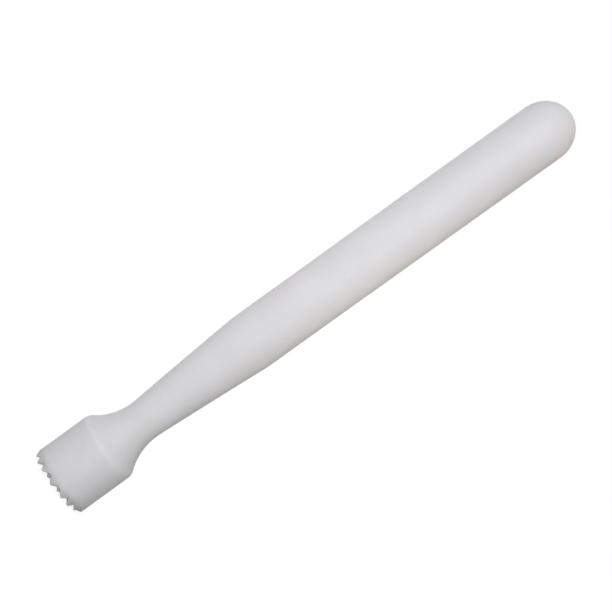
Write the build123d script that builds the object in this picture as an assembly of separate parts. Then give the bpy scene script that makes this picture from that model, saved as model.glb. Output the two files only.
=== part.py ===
from build123d import *
import math
import os

# A bar muddler moulded in one piece of white plastic. It stands on its toothed head,
# with its axis along +Z, the tips of the teeth on z = 0 and the domed end on top.
# All sizes are in millimetres, and the angle is in degrees.

overall_length = 216.0

head_rim_radius = 12.7  # at the tips of the teeth
head_top_radius = 12.65  # draft narrows the head a little towards its shoulder
shoulder_round_radius = 3.8

neck_radius = 7.1  # at the narrowest place
neck_height = 37.1  # of the narrowest place, above the tips
neck_curve_radius = 22.6  # of the hollow between the shoulder and the taper

taper_angle = 4.07  # between the side of the tapered shaft and the axis
taper_blend_radius = 45.0  # where the taper runs out into the grip

grip_radius = 10.28
dome_height = 11.6  # a little more than the grip's radius
dome_fullness = 0.5523  # share of each side of the dome's corner that its curve keeps to: a quarter ellipse

tooth_pitch = 4.08
tooth_height = 2.4
tooth_tip_width = 0.3  # of the small flat on each tooth
cutter_overrun = 1.0  # how far a groove's cutter reaches past the head


def make_section():
    """Half of the muddler's section: a face between the axis and the outline, in the XZ plane."""
    hollow_centre_x = neck_radius + neck_curve_radius
    shoulder_height = neck_height - math.sqrt(neck_curve_radius**2 - (hollow_centre_x - head_top_radius) ** 2)
    slope = math.radians(taper_angle)
    taper_start_radius = hollow_centre_x - neck_curve_radius * math.cos(slope)
    taper_start_height = neck_height + neck_curve_radius * math.sin(slope)
    grip_start_height = taper_start_height + (grip_radius - taper_start_radius) / math.tan(slope)
    dome_start_height = overall_length - dome_height

    shoulder = (head_top_radius, shoulder_height)
    grip_start = (grip_radius, grip_start_height)
    dome_start = (grip_radius, dome_start_height)
    with BuildSketch(Plane.XZ) as section:
        with BuildLine():
            Polyline((0, overall_length), (0, 0), (head_rim_radius, 0), shoulder)
            ThreePointArc(shoulder, (neck_radius, neck_height), (taper_start_radius, taper_start_height))
            Polyline((taper_start_radius, taper_start_height), grip_start, dome_start)
            Bezier(
                dome_start,
                (grip_radius, dome_start_height + dome_fullness * dome_height),
                (dome_fullness * grip_radius, overall_length),
                (0, overall_length),
            )
        make_face()
        fillet(corner_at(section, shoulder), shoulder_round_radius)
        fillet(corner_at(section, grip_start), taper_blend_radius)
    return section.sketch


def corner_at(section, place):
    """The corner of the section that lies at a place given as radius and height."""
    return section.vertices().sort_by_distance(Vector(*place))[0]


def make_grooves():
    """The V cutters that leave square pyramids on the head's end: rows along Y, then rows along X."""
    half_width = (tooth_pitch - tooth_tip_width) / 2
    mouth_half_width = half_width * (1 + cutter_overrun / tooth_height)
    rows = 2 * math.floor((head_rim_radius + half_width) / tooth_pitch + 0.5)
    reach = head_rim_radius + cutter_overrun
    with BuildPart() as grooves:
        for plane_across in (Plane.XZ, Plane.YZ):
            with BuildSketch(plane_across):
                with GridLocations(tooth_pitch, 1, rows, 1):
                    Polygon(
                        (0, tooth_height),
                        (-mouth_half_width, -cutter_overrun),
                        (mouth_half_width, -cutter_overrun),
                        align=None,
                    )
            extrude(amount=reach, both=True)
    return grooves.part


def make_muddler():
    body = revolve(make_section(), axis=Axis.Z)
    return body - make_grooves()


os.makedirs("parts", exist_ok=True)
muddler = make_muddler()
export_step(muddler, "parts/muddler_body.step")
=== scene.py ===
import math

import bmesh
import bpy
import numpy as np
from mathutils import Matrix, Vector


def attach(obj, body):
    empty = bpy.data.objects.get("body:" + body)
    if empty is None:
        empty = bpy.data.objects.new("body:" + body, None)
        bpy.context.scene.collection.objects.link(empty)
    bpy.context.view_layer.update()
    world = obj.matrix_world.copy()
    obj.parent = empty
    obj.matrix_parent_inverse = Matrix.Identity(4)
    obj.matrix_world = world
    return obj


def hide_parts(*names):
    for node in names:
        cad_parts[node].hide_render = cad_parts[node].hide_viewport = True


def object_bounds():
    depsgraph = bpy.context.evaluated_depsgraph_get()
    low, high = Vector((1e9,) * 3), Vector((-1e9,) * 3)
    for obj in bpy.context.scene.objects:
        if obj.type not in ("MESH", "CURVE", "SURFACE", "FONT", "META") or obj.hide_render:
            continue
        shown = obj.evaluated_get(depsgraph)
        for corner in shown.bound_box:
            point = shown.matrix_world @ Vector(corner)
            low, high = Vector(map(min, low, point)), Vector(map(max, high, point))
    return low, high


# A one-piece bar muddler in white plastic, standing on its toothed head.
# Everything is in metres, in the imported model's frame: +Z runs along the muddler.

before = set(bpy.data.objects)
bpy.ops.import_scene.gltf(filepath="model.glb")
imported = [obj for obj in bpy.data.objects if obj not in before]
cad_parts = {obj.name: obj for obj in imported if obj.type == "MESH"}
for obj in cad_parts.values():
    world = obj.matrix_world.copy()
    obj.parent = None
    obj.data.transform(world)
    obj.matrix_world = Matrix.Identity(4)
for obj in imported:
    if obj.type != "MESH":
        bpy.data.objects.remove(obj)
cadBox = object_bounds()
mm = 0.001

bodySize = {
    "headRimRadius": 12.7 * mm,
    "headTopRadius": 12.65 * mm,
    "shoulderRound": 3.8 * mm,
    "neckRadius": 7.1 * mm,
    "neckHeight": 37.1 * mm,
    "neckCurve": 22.6 * mm,
    "taperAngle": 4.07,  # degrees
    "taperBlend": 45.0 * mm,
    "gripRadius": 10.28 * mm,
    "domeHeight": 11.6 * mm,
    "bend": 0.47 * mm,  # the most that the shaft stands off a straight line between the ends
    "bendTowards": 140.4,  # degrees round from +X
    "bendRise": 48.0 * mm,  # how far up the bend comes in
    "bendPowers": (2.5, 1.6),  # how suddenly it comes in, and how late it goes
    "segments": 256,
    "arcStep": 3.0,  # degrees from ring to ring on a round stretch
    "ringStep": 4.0 * mm,  # and the distance on a straight one
}

toothSize = {
    "pitch": 4.08 * mm,
    "height": 2.4 * mm,
    "tipWidth": 0.3 * mm,
    "tipRound": 0.4 * mm,
    "valleyRound": 0.12 * mm,
    "ridgeRound": 0.12 * mm,
    "rimRound": 0.25 * mm,
    "wear": 0.1 * mm,  # the most that a tip is worn down
    "wearTurns": (2.4, 1.7, 0.9),  # how the wear swings from row to row, column to column and with both
    "halfToothSteps": 14,
    "rimSteps": 4,
    "rimMargin": 0.003 * mm,  # a grid corner this near to the rim is left out
}


def arcPoints(centre, radius, start, end, step):
    # points on a circle from one angle to another, both in degrees, both ends included
    count = max(2, math.ceil(abs(end - start) / step))
    angles = np.radians(np.linspace(start, end, count + 1))
    return [(centre[0] + radius * math.cos(a), centre[1] + radius * math.sin(a)) for a in angles]


def straightPoints(start, end, step):
    # the points between two places, without the places themselves
    count = max(1, round(math.dist(start, end) / step))
    return [tuple(np.array(start) + (np.array(end) - start) * k / count) for k in range(1, count)]


def bodyOutline(size, startHeight, length):
    # (radius, height) from the head's side, above the teeth, to the middle of the dome
    hollow = np.array((size["neckRadius"] + size["neckCurve"], size["neckHeight"]))
    rim = np.array((size["headRimRadius"], 0.0))
    inFromHollow = hollow[0] - size["headTopRadius"]
    sharpHeight = size["neckHeight"] - math.sqrt(size["neckCurve"] ** 2 - inFromHollow**2)
    along = np.array((size["headTopRadius"], sharpHeight)) - rim
    along /= np.linalg.norm(along)
    outward = np.array((along[1], -along[0]))

    # the shoulder's round touches the head's side and the hollow of the neck
    inner = rim - size["shoulderRound"] * outward - hollow
    reach = size["neckCurve"] + size["shoulderRound"]
    half = inner @ along
    roundCentre = hollow + inner + along * (-half - math.sqrt(half**2 - inner @ inner + reach**2))
    toHollow = (hollow - roundCentre) / reach
    roundStart = math.degrees(math.atan2(outward[1], outward[0]))
    roundEnd = math.degrees(math.atan2(toHollow[1], toHollow[0]))

    slope = math.radians(size["taperAngle"])
    taperFoot = hollow + size["neckCurve"] * np.array((-math.cos(slope), math.sin(slope)))
    cornerHeight = taperFoot[1] + (size["gripRadius"] - taperFoot[0]) / math.tan(slope)
    blendEnd = cornerHeight + size["taperBlend"] * math.tan(slope / 2)
    blendCentre = (size["gripRadius"] - size["taperBlend"], blendEnd)
    domeFoot = (size["gripRadius"], length - size["domeHeight"])

    start = tuple(rim + along * (startHeight / along[1]))
    shoulder = arcPoints(roundCentre, size["shoulderRound"], roundStart, roundEnd, size["arcStep"])
    neck = arcPoints(hollow, size["neckCurve"], roundEnd + 180, 180 - size["taperAngle"], size["arcStep"] / 2)
    blend = arcPoints(blendCentre, size["taperBlend"], -size["taperAngle"], 0, size["arcStep"] / 4)
    dome = [
        (domeFoot[0] * math.cos(a), domeFoot[1] + size["domeHeight"] * math.sin(a))
        for a in np.radians(np.arange(0, 90.01, size["arcStep"]))
    ]
    step = size["ringStep"]
    return [
        start,
        *straightPoints(start, shoulder[0], step),
        *shoulder,
        *neck[1:],
        *straightPoints(neck[-1], blend[0], step),
        *blend,
        *straightPoints(blend[-1], dome[0], step),
        *dome[:-1],
    ]


def grooveDepth(place, size):
    # how deep one set of V grooves is, at distances measured across it from a tooth's middle
    slope = math.atan2(size["height"], (size["pitch"] - size["tipWidth"]) / 2)
    off = np.abs(place - size["pitch"] * np.round(place / size["pitch"]))
    depth = np.clip((off - size["tipWidth"] / 2) * math.tan(slope), 0, None)

    tipRound = size["tipRound"]
    roundStart = size["tipWidth"] / 2 - tipRound * math.tan(slope / 2)
    onTip = (off > roundStart) & (off < roundStart + tipRound * math.sin(slope))
    tipDepth = tipRound - np.sqrt(np.clip(tipRound**2 - (off - roundStart) ** 2, 0, None))
    depth = np.where(onTip, tipDepth, depth)

    valleyRound = size["valleyRound"]
    toValley = size["pitch"] / 2 - off
    bottom = size["height"] - valleyRound / math.cos(slope)
    inValley = toValley < valleyRound * math.sin(slope)
    return np.where(inValley, bottom + np.sqrt(np.clip(valleyRound**2 - toValley**2, 0, None)), depth)


def softMax(first, second, softness):
    # the larger of two depths, with the crease where they meet rounded
    meeting = np.clip(1 - np.abs(first - second) / softness, 0, 1)
    return np.maximum(first, second) + softness * meeting**2 / 4


def toothDepth(x, y, size):
    # how far the toothed face lies above the plane of the tips
    acrossX, acrossY = grooveDepth(x, size), grooveDepth(y, size)
    softness = size["ridgeRound"] * np.clip(np.maximum(acrossX, acrossY) / (3 * size["ridgeRound"]), 0.01, 1)
    depth = softMax(acrossX, acrossY, softness)
    # each tip is worn by its own amount, and the middle one not at all
    row, column = np.round(x / size["pitch"]), np.round(y / size["pitch"])
    byRow, byColumn, byBoth = size["wearTurns"]
    worn = size["wear"] * (1 - np.cos(byRow * row + byColumn * column + byBoth * row * column)) / 2
    return np.where(depth < worn, worn, depth)


class MeshLists:
    # the vertices and faces of a mesh while it is put together
    def __init__(self):
        self.points = []
        self.faces = []

    def add(self, point):
        self.points.append(tuple(float(c) for c in point))
        return len(self.points) - 1


def toothedFace(mesh, body, tooth):
    # a grid whose lines follow the tips and valleys, trimmed to a circle
    # returns its rim as (angle, vertex), in order
    radius = body["headRimRadius"] - tooth["rimRound"]
    half = tooth["pitch"] / 2
    steps = tooth["halfToothSteps"]
    inHalf = half * (1 - np.cos(np.pi * np.arange(steps) / steps)) / 2
    halves = math.ceil(radius / half)
    positive = np.concatenate([k * half + inHalf for k in range(halves)] + [[halves * half]])
    lines = np.concatenate([-positive[:0:-1], positive])
    count = len(lines)

    gridX, gridY = np.meshgrid(lines, lines, indexing="ij")
    inside = np.hypot(gridX, gridY) < radius - tooth["rimMargin"]
    depth = toothDepth(gridX, gridY, tooth)
    corner = {(i, j): mesh.add((lines[i], lines[j], depth[i, j])) for i, j in np.argwhere(inside)}
    crossing = {}
    rim = []

    def cross(here, there):
        # the vertex where the grid line between two corners meets the circle
        key = (min(here, there), max(here, there))
        if key not in crossing:
            (i, j), (k, l) = key
            if i == k:
                x, y = lines[i], math.copysign(math.sqrt(radius**2 - lines[i] ** 2), lines[j] + lines[l])
            else:
                x, y = math.copysign(math.sqrt(radius**2 - lines[j] ** 2), lines[i] + lines[k]), lines[j]
            height = float(toothDepth(np.array(x), np.array(y), tooth))
            crossing[key] = mesh.add((x, y, height))
            rim.append((math.atan2(y, x), crossing[key]))
        return crossing[key]

    for i in range(count - 1):
        for j in range(count - 1):
            corners = [(i, j), (i, j + 1), (i + 1, j + 1), (i + 1, j)]
            known = [c in corner for c in corners]
            if all(known):
                a, b, c, d = (corner[k] for k in corners)
                # each cell is split the way the ridges of its tooth run
                middle = (lines[i : i + 2].mean(), lines[j : j + 2].mean())
                side = [m - tooth["pitch"] * round(m / tooth["pitch"]) for m in middle]
                mesh.faces += [(a, b, c), (a, c, d)] if side[0] * side[1] > 0 else [(a, b, d), (b, c, d)]
            elif any(known):
                face = []
                for k in range(4):
                    here, there = corners[k], corners[(k + 1) % 4]
                    if known[k]:
                        face.append(corner[here])
                    if known[k] != known[(k + 1) % 4]:
                        face.append(cross(here, there))
                mesh.faces.append(tuple(face))
    return sorted(rim)


def joinRings(mesh, lower, upper):
    # quads between two rings with the same number of vertices
    for k in range(len(lower)):
        mesh.faces.append((lower[k - 1], lower[k], upper[k], upper[k - 1]))


def zipRings(mesh, lower, lowerAngles, upper, upperAngles):
    # triangles between two rings whose vertices stand at different angles, both in rising order
    i = j = 0
    nextLower = np.append(lowerAngles, lowerAngles[0] + 2 * math.pi)
    nextUpper = np.append(upperAngles, upperAngles[0] + 2 * math.pi)
    while i < len(lower) or j < len(upper):
        low, high = lower[i % len(lower)], upper[j % len(upper)]
        if j == len(upper) or (i < len(lower) and nextLower[i + 1] <= nextUpper[j + 1]):
            mesh.faces.append((low, lower[(i + 1) % len(lower)], high))
            i += 1
        else:
            mesh.faces.append((low, upper[(j + 1) % len(upper)], high))
            j += 1


def buildMuddler(body, tooth, length):
    mesh = MeshLists()
    rim = toothedFace(mesh, body, tooth)
    rimAngles = np.array([angle for angle, vertex in rim])
    lastRing = [vertex for angle, vertex in rim]
    rimHeights = np.array([mesh.points[vertex][2] for vertex in lastRing])

    sideStart = tooth["height"] + 3 * tooth["rimRound"]  # above the valleys and their round
    outline = bodyOutline(body, sideStart, length)
    draft = (body["headRimRadius"] - outline[0][0]) / sideStart
    innerRadius = body["headRimRadius"] - tooth["rimRound"]
    for k in range(1, tooth["rimSteps"] + 1):
        turn = math.pi / 2 * k / tooth["rimSteps"]
        heights = rimHeights + tooth["rimRound"] * (1 - math.cos(turn))
        radii = innerRadius + (tooth["rimRound"] - draft * heights) * math.sin(turn)
        ring = [mesh.add((r * math.cos(a), r * math.sin(a), h)) for r, a, h in zip(radii, rimAngles, heights)]
        joinRings(mesh, lastRing, ring)
        lastRing = ring
    radius, height = outline[0]
    ring = [mesh.add((radius * math.cos(a), radius * math.sin(a), height)) for a in rimAngles]
    joinRings(mesh, lastRing, ring)

    angles = -math.pi + 2 * math.pi * np.arange(body["segments"]) / body["segments"]
    rings = [
        [mesh.add((radius * math.cos(a), radius * math.sin(a), height)) for a in angles]
        for radius, height in outline[1:]
    ]
    zipRings(mesh, ring, rimAngles, rings[0], angles)
    for lower, upper in zip(rings, rings[1:]):
        joinRings(mesh, lower, upper)
    top = mesh.add((0, 0, length))
    for k in range(body["segments"]):
        mesh.faces.append((rings[-1][k - 1], rings[-1][k], top))

    # the moulding is very slightly bent, most of all above the neck
    points = np.array(mesh.points)
    height = points[:, 2].clip(0, length)
    comesIn, goes = body["bendPowers"]
    bow = (1 - np.exp(-((height / body["bendRise"]) ** comesIn))) * (1 - (height / length) ** goes)
    shift = body["bend"] * bow / bow.max()
    towards = math.radians(body["bendTowards"])
    points[:, 0] += shift * math.cos(towards)
    points[:, 1] += shift * math.sin(towards)

    data = bpy.data.meshes.new("muddler")
    data.from_pydata([tuple(p) for p in points], [], mesh.faces)
    work = bmesh.new()
    work.from_mesh(data)
    bmesh.ops.recalc_face_normals(work, faces=work.faces)
    work.to_mesh(data)
    work.free()
    data.shade_smooth()
    muddler = bpy.data.objects.new("muddler", data)
    bpy.context.scene.collection.objects.link(muddler)
    return muddler


class NodeKit:
    # the shader nodes of a material or the world, with short ways to make the usual ones
    def __init__(self, owner):
        owner.use_nodes = True
        self.nodes = owner.node_tree.nodes
        self.links = owner.node_tree.links

    def feed(self, socket, value):
        # a number or a colour is set on the socket, and another node's result is linked to it
        if isinstance(value, (int, float, tuple)):
            socket.default_value = value
        else:
            self.links.new(value, socket)

    def place(self):
        return self.nodes.new("ShaderNodeTexCoord").outputs["Object"]

    def ray(self, kind):
        return self.nodes.new("ShaderNodeLightPath").outputs[f"Is {kind} Ray"]

    def calculate(self, operation, *values):
        node = self.nodes.new("ShaderNodeMath")
        node.operation = operation
        for socket, value in zip(node.inputs, values):
            self.feed(socket, value)
        return node.outputs["Value"]

    def distance(self, spot):
        # how far a place is from the object's own zero
        node = self.nodes.new("ShaderNodeVectorMath")
        node.operation = "LENGTH"
        self.feed(node.inputs[0], spot)
        return node.outputs["Value"]

    def remap(self, value, low, high, toLow, toHigh, kind="SMOOTHSTEP"):
        node = self.nodes.new("ShaderNodeMapRange")
        node.interpolation_type = kind
        for name, number in zip(("From Min", "From Max", "To Min", "To Max"), (low, high, toLow, toHigh)):
            self.feed(node.inputs[name], number)
        self.feed(node.inputs["Value"], value)
        return node.outputs["Result"]

    def cloud(self, size, detail=2.0, turn=None, stretch=None):
        # a soft noise from 0 to 1 whose patches are about this large
        noise = self.nodes.new("ShaderNodeTexNoise")
        noise.inputs["Detail"].default_value = detail
        noise.inputs["Scale"].default_value = 1 / size
        spot = self.place()
        if stretch:
            turned = self.nodes.new("ShaderNodeMapping")
            turned.inputs["Rotation"].default_value = turn
            turned.inputs["Scale"].default_value = stretch
            self.feed(turned.inputs["Vector"], spot)
            spot = turned.outputs["Vector"]
        self.feed(noise.inputs["Vector"], spot)
        return noise.outputs["Fac"]

    def blendColour(self, share, first, second):
        node = self.nodes.new("ShaderNodeMix")
        node.data_type = "RGBA"
        self.feed(node.inputs["Factor"], share)
        for name, colour in (("A", first), ("B", second)):
            self.feed([i for i in node.inputs if i.name == name and i.type == "RGBA"][0], colour)
        return [o for o in node.outputs if o.type == "RGBA"][0]


plasticLook = {
    "colour": (0.757, 0.747, 0.761, 1),
    "cloudColour": (0.739, 0.729, 0.741, 1),
    "cloudSize": 16 * mm,
    "mottleSize": 1.1 * mm,
    "mottle": 0.05,  # how far the fine mottle goes towards the colour of the specks
    "tipShadeColour": (0.5, 0.49, 0.49, 1),  # painted shade on the teeth, darkest at the tips near the rim
    "tipFade": (1.4 * mm, 4.6 * mm),  # heights between which that colour fades out
    "tipRim": (9.5 * mm, 11.8 * mm),  # distances from the axis between which it comes in
    "tipShare": (0.5, 0.95),  # the least and the most of it, from patch to patch
    "tipPatch": 4 * mm,
    "speckColour": (0.5, 0.48, 0.45, 1),
    "speckSpacing": 3.2 * mm,
    "speckShare": 0.35,  # of the places where a speck could be
    "speckRadius": (0.1 * mm, 0.22 * mm),
    "softLevels": (0.3, 0.7),  # of the noise, between which mottle and polish go from none to full
    "patchLevels": (0.35, 0.65),  # and the same for the clouds and the painted shade of the tips
    "roughness": (0.56, 0.68),
    "polishSize": 6 * mm,  # of the patches that shine more or less
    "scuffLength": 14 * mm,
    "scuffWidth": 0.35 * mm,
    "scuffDepth": 0.004 * mm,
    "scuffTurns": ((0.3, 0.2, 0.0), (-0.5, 0.4, 0.9), (0.1, -0.9, 2.1)),  # radians: the ways they run
    "scuffLevels": (0.66, 0.74),  # of the noise that shows as a scuff: lower levels give more of them
    "scuffPatch": 11 * mm,  # they come in patches of about this size
    "scuffPatchLevels": (0.45, 0.65),
    "scuffRoughness": 0.08,
    "grainSize": 0.3 * mm,
    "grainDepth": 0.0025 * mm,
    "rippleSize": 11 * mm,
    "rippleDepth": 0.03 * mm,  # of the hollows that cooling leaves
    "translucency": 1.0,
    "bleed": 4.5 * mm,  # how far light spreads under the surface
    "bleedTint": (1.0, 0.9, 0.8),  # red light goes the furthest
}


def dustSpecks(kit, look):
    # one speck in some of the cells, each of its own size and strength
    cells = kit.nodes.new("ShaderNodeTexVoronoi")
    cells.inputs["Scale"].default_value = 1 / look["speckSpacing"]
    kit.feed(cells.inputs["Vector"], kit.place())
    channels = kit.nodes.new("ShaderNodeSeparateColor")
    kit.feed(channels.inputs["Color"], cells.outputs["Color"])
    small, large = (radius / look["speckSpacing"] for radius in look["speckRadius"])
    chosen = kit.calculate("LESS_THAN", channels.outputs["Red"], look["speckShare"])
    radius = kit.remap(channels.outputs["Green"], 0, 1, small, large, "LINEAR")
    toEdge = kit.calculate("SUBTRACT", kit.calculate("MULTIPLY", radius, chosen), cells.outputs["Distance"])
    inSpeck = kit.remap(kit.calculate("DIVIDE", toEdge, small), 0, 1, 0, 1)
    return kit.calculate("MULTIPLY", inSpeck, channels.outputs["Blue"])


def paintedTipShade(kit, look):
    # painted shade: the teeth near the rim are darker towards their tips, fading out higher up
    across = kit.nodes.new("ShaderNodeVectorMath")
    across.operation = "MULTIPLY"
    kit.feed(across.inputs[0], kit.place())
    across.inputs[1].default_value = (1, 1, 0)
    heights = kit.nodes.new("ShaderNodeSeparateXYZ")
    kit.feed(heights.inputs["Vector"], kit.place())
    nearRim = kit.remap(kit.distance(across.outputs["Vector"]), *look["tipRim"], 0, 1)
    inTeeth = kit.calculate("MULTIPLY", nearRim, kit.remap(heights.outputs["Z"], *look["tipFade"], 1, 0))
    share = kit.remap(kit.cloud(look["tipPatch"]), *look["patchLevels"], *look["tipShare"])
    return kit.calculate("MULTIPLY", inTeeth, share)


def lightScuffs(kit, look):
    # long thin noise in three directions, of which only the sharpest shows
    thin = (1, 1, look["scuffWidth"] / look["scuffLength"])
    scuff = 0.0
    for turn in look["scuffTurns"]:
        line = kit.remap(kit.cloud(look["scuffWidth"], 1.0, turn, thin), *look["scuffLevels"], 0, 1)
        scuff = kit.calculate("MAXIMUM", scuff, line)
    patch = kit.remap(kit.cloud(look["scuffPatch"]), *look["scuffPatchLevels"], 0, 1)
    return kit.calculate("MULTIPLY", scuff, patch)


def whitePlastic(look):
    material = bpy.data.materials.new("whitePlastic")
    kit = NodeKit(material)
    shader = kit.nodes["Principled BSDF"]
    shader.inputs["Subsurface Weight"].default_value = look["translucency"]
    shader.inputs["Subsurface Radius"].default_value = look["bleedTint"]
    shader.inputs["Subsurface Scale"].default_value = look["bleed"]

    cloudShare = kit.remap(kit.cloud(look["cloudSize"], 3.0), *look["patchLevels"], 0, 1)
    clouded = kit.blendColour(cloudShare, look["colour"], look["cloudColour"])
    mottle = kit.remap(kit.cloud(look["mottleSize"]), *look["softLevels"], 0, look["mottle"])
    mottled = kit.blendColour(mottle, clouded, look["speckColour"])
    # painted shade on the teeth, darkest at the tips near the rim
    tipShaded = kit.blendColour(paintedTipShade(kit, look), mottled, look["tipShadeColour"])
    specked = kit.blendColour(dustSpecks(kit, look), tipShaded, look["speckColour"])
    kit.feed(shader.inputs["Base Color"], specked)

    scuff = lightScuffs(kit, look)
    polish = kit.remap(kit.cloud(look["polishSize"], 3.0), *look["softLevels"], *look["roughness"])
    rougher = kit.calculate("MULTIPLY", scuff, look["scuffRoughness"])
    kit.feed(shader.inputs["Roughness"], kit.calculate("ADD", polish, rougher))

    grain = kit.calculate("MULTIPLY", kit.cloud(look["grainSize"], 1.0), look["grainDepth"])
    ripple = kit.calculate("MULTIPLY", kit.cloud(look["rippleSize"], 0.0), look["rippleDepth"])
    groove = kit.calculate("MULTIPLY", scuff, -look["scuffDepth"])
    bump = kit.nodes.new("ShaderNodeBump")
    bump.inputs["Strength"].default_value = 1.0
    bump.inputs["Distance"].default_value = 1.0
    surface = kit.calculate("ADD", kit.calculate("ADD", grain, ripple), groove)
    kit.feed(bump.inputs["Height"], surface)
    kit.feed(shader.inputs["Normal"], bump.outputs["Normal"])
    return material


cameraView = {
    "distance": 1.529,
    "frameWidth": 206.5 * mm,  # of what the camera sees at the muddler
    "sensorWidth": 36,  # in millimetres, as the lens is
    "elevation": 9.3,  # degrees above the muddler's middle
    "azimuth": -39.6,  # degrees
    "axisSlope": 35.83,  # degrees between the muddler and the picture's lower edge
    "right": 0.0089,  # how far the muddler's middle lies off the picture's, in picture widths
    "up": 0.00993,
}


def addCamera(look, middle):
    azimuth, elevation = math.radians(look["azimuth"]), math.radians(look["elevation"])
    side = Vector((math.cos(azimuth), math.sin(azimuth), 0))
    level = math.cos(elevation)
    back = Vector((math.sin(azimuth) * level, -math.cos(azimuth) * level, math.sin(elevation)))
    upright = back.cross(side)
    slope = math.radians(look["axisSlope"])
    right = math.cos(slope) * upright + math.sin(slope) * side
    up = math.sin(slope) * upright - math.cos(slope) * side
    data = bpy.data.cameras.new("camera")
    data.sensor_width = look["sensorWidth"]
    data.lens = data.sensor_width * look["distance"] / look["frameWidth"]
    camera = bpy.data.objects.new("camera", data)
    bpy.context.scene.collection.objects.link(camera)
    offset = -(look["right"] * right + look["up"] * up) * look["frameWidth"]
    camera.matrix_world = Matrix.Translation(middle + offset + back * look["distance"]) @ Matrix(
        (right, up, back)
    ).transposed().to_4x4()
    bpy.context.scene.camera = camera
    return camera


lampList = [
    # around: degrees from the camera, anticlockwise from above; lengths: metres from the foot
    {"around": 0, "height": 0.2, "away": 0.5, "aim": 0.12, "power": 1.24, "tint": (0.99, 1, 1.02)},
    {"around": -25, "height": 0.3, "away": 0.5, "aim": 0.12, "power": 0.595, "tint": (0.97, 1, 1.05)},
    {"around": 140, "height": 0.6, "away": 0.8, "aim": 0.12, "power": 0.798, "tint": (1, 1, 0.65)},
    {"around": 180, "height": 0.3, "away": 0.8, "aim": 0.12, "power": 1.0, "tint": (0.98, 1, 1.05)},
    {"around": -100, "height": 0.12, "away": 0.8, "aim": 0.12, "power": 0.59, "tint": (0.98, 1, 1.06)},
    {"around": -140, "height": 0.12, "away": 0.8, "aim": 0.12, "power": 0.753, "tint": (1, 1, 0.98)},
    {"around": -140, "height": 0.5, "away": 0.15, "aim": 0.15, "power": 0.301, "tint": (0.95, 1, 1.07)},
    {"around": 90, "height": 0.6, "away": 0.1, "aim": 0.15, "power": 0.332, "tint": (1.05, 1, 0.91)},
]

# small lamps beside the shaft, level with it, whose beams pass above the head
sideLampList = [
    {"around": -80, "height": 0.12, "away": 0.12, "power": 0.00262, "tint": (1.22, 1, 0.95)},
    {"around": 80, "height": 0.22, "away": 0.2, "power": 0.00466, "tint": (1.3, 1, 0.85)},
    {"around": 80, "height": 0.12, "away": 0.12, "power": 0.00564, "tint": (1.1, 1, 0.8)},
    {"around": 110, "height": 0.22, "away": 0.2, "power": 0.00739, "tint": (1.2, 1, 0.97)},
]

studioLook = {
    "lampWidth": 0.45,  # as a share of the lamp's distance
    "lampBeam": 180.0,  # degrees
    "sideLampWidth": 0.1,
    "sideLampBeam": 80.0,
    "ambient": 0.15,
    "reflected": 0.15,  # how white the background is in the plastic's reflections
    "floorRadius": 6.0,
    "floorSegments": 64,
    "floorGap": 0.05 * mm,
    "floorColour": 0.65,
    "floorSeen": 0.25,  # the part of the floor's light that the camera sees, on top of the white of the lift
    "floorLift": (0.852, 0.963),  # near and far
    "liftReach": (0.0, 1.1),  # distances from the foot that count as near and far
    "underGlow": 0.12,  # the light that the floor gives the teeth
    "underReach": (11 * mm, 14 * mm),  # distances from the foot between which it fades out
}


def addLamp(name, lamp, aim, beam, width):
    bearing = math.radians(cameraView["azimuth"] + lamp["around"])
    place = Vector((math.sin(bearing) * lamp["away"], -math.cos(bearing) * lamp["away"], lamp["height"]))
    data = bpy.data.lights.new(name, "AREA")
    data.shape = "DISK"
    data.size = width
    data.spread = math.radians(beam)
    data.energy = lamp["power"]
    data.color = lamp["tint"]
    light = bpy.data.objects.new(name, data)
    bpy.context.scene.collection.objects.link(light)
    facing = (place - Vector((0, 0, aim))).to_track_quat("Z", "Y")
    light.matrix_world = Matrix.Translation(place) @ facing.to_matrix().to_4x4()
    light.visible_camera = False


def addLamps(look):
    for number, lamp in enumerate(lampList, 1):
        distance = math.hypot(lamp["away"], lamp["height"] - lamp["aim"])
        addLamp(f"lamp{number}", lamp, lamp["aim"], look["lampBeam"], look["lampWidth"] * distance)
    for number, lamp in enumerate(sideLampList, 1):
        addLamp(f"sideLamp{number}", lamp, lamp["height"], look["sideLampBeam"], look["sideLampWidth"])


def backgroundRays(kit, reflected):
    # how much of the background's white a ray shows
    # it is all of it to the camera or through something, and less in a reflection
    direct = kit.calculate("MAXIMUM", kit.ray("Camera"), kit.ray("Transmission"))
    return kit.calculate("MULTIPLY_ADD", kit.ray("Glossy"), reflected, direct)


def addWorld(look):
    world = bpy.data.worlds.new("world")
    bpy.context.scene.world = world
    kit = NodeKit(world)
    background = kit.nodes["Background"]
    background.inputs["Color"].default_value = (1, 1, 1, 1)
    white = backgroundRays(kit, look["reflected"])
    kit.feed(background.inputs["Strength"], kit.remap(white, 0, 1, look["ambient"], 1, "LINEAR"))


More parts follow.
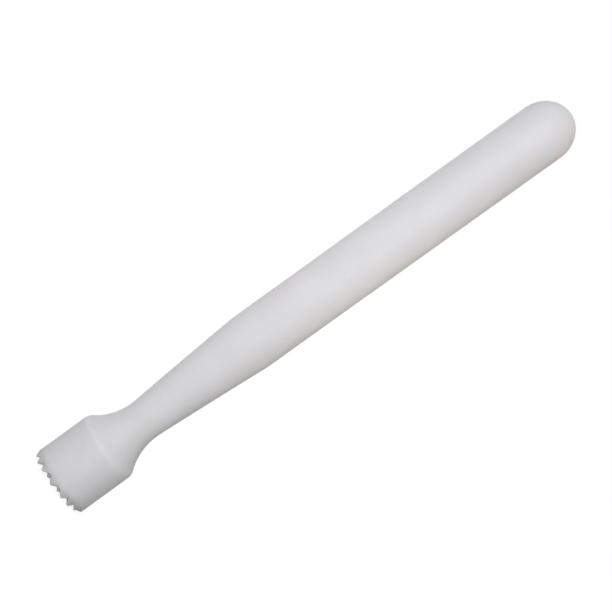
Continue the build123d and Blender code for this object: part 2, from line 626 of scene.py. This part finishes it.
def paleFloor(look):
    material = bpy.data.materials.new("paleFloor")
    kit = NodeKit(material)
    shader = kit.nodes["Principled BSDF"]
    colour = kit.remap(kit.ray("Camera"), 0, 1, look["floorColour"], look["floorSeen"], "LINEAR")
    kit.feed(shader.inputs["Base Color"], colour)
    shader.inputs["Roughness"].default_value = 1
    shader.inputs["Specular IOR Level"].default_value = 0
    shader.inputs["Emission Color"].default_value = (1, 1, 1, 1)

    # the lamps light the floor less and less away from the muddler, and the lift makes up for it
    fromFoot = kit.distance(kit.place())
    lift = kit.remap(fromFoot, *look["liftReach"], *look["floorLift"], "LINEAR")
    seen = kit.calculate("MULTIPLY", backgroundRays(kit, look["reflected"]), lift)
    # under the head the floor gives the teeth a faint light, without which they are black from below
    glow = kit.remap(fromFoot, *look["underReach"], look["underGlow"], 0, "LINEAR")
    light = kit.calculate("MULTIPLY_ADD", kit.ray("Diffuse"), glow, seen)
    kit.feed(shader.inputs["Emission Strength"], light)

    # seen from below, the floor isn't there
    back = kit.nodes.new("ShaderNodeNewGeometry").outputs["Backfacing"]
    clear = kit.nodes.new("ShaderNodeBsdfTransparent")
    either = kit.nodes.new("ShaderNodeMixShader")
    kit.feed(either.inputs["Fac"], kit.calculate("MULTIPLY", back, kit.ray("Camera")))
    kit.feed(either.inputs[1], shader.outputs["BSDF"])
    kit.feed(either.inputs[2], clear.outputs["BSDF"])
    kit.feed(kit.nodes["Material Output"].inputs["Surface"], either.outputs["Shader"])
    return material


def addFloor(look):
    data = bpy.data.meshes.new("floor")
    work = bmesh.new()
    bmesh.ops.create_circle(work, cap_ends=True, radius=look["floorRadius"], segments=look["floorSegments"])
    work.to_mesh(data)
    work.free()
    data.materials.append(paleFloor(look))
    floor = bpy.data.objects.new("floor", data)
    floor.location.z = cadBox[0].z - look["floorGap"]
    bpy.context.scene.collection.objects.link(floor)


length = cadBox[1].z - cadBox[0].z
middle = Vector((0, 0, cadBox[0].z + length / 2))
muddler = buildMuddler(bodySize, toothSize, length)
muddler.data.materials.append(whitePlastic(plasticLook))
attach(muddler, "root")
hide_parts("muddler_body")
print("muddler:", len(muddler.data.vertices), "vertices", len(muddler.data.polygons), "faces")

addCamera(cameraView, middle)
addLamps(studioLook)
addWorld(studioLook)
addFloor(studioLook)
bpy.context.scene.view_settings.view_transform = "Standard"
print("studio:", len(lampList) + len(sideLampList), "lamps and the floor")
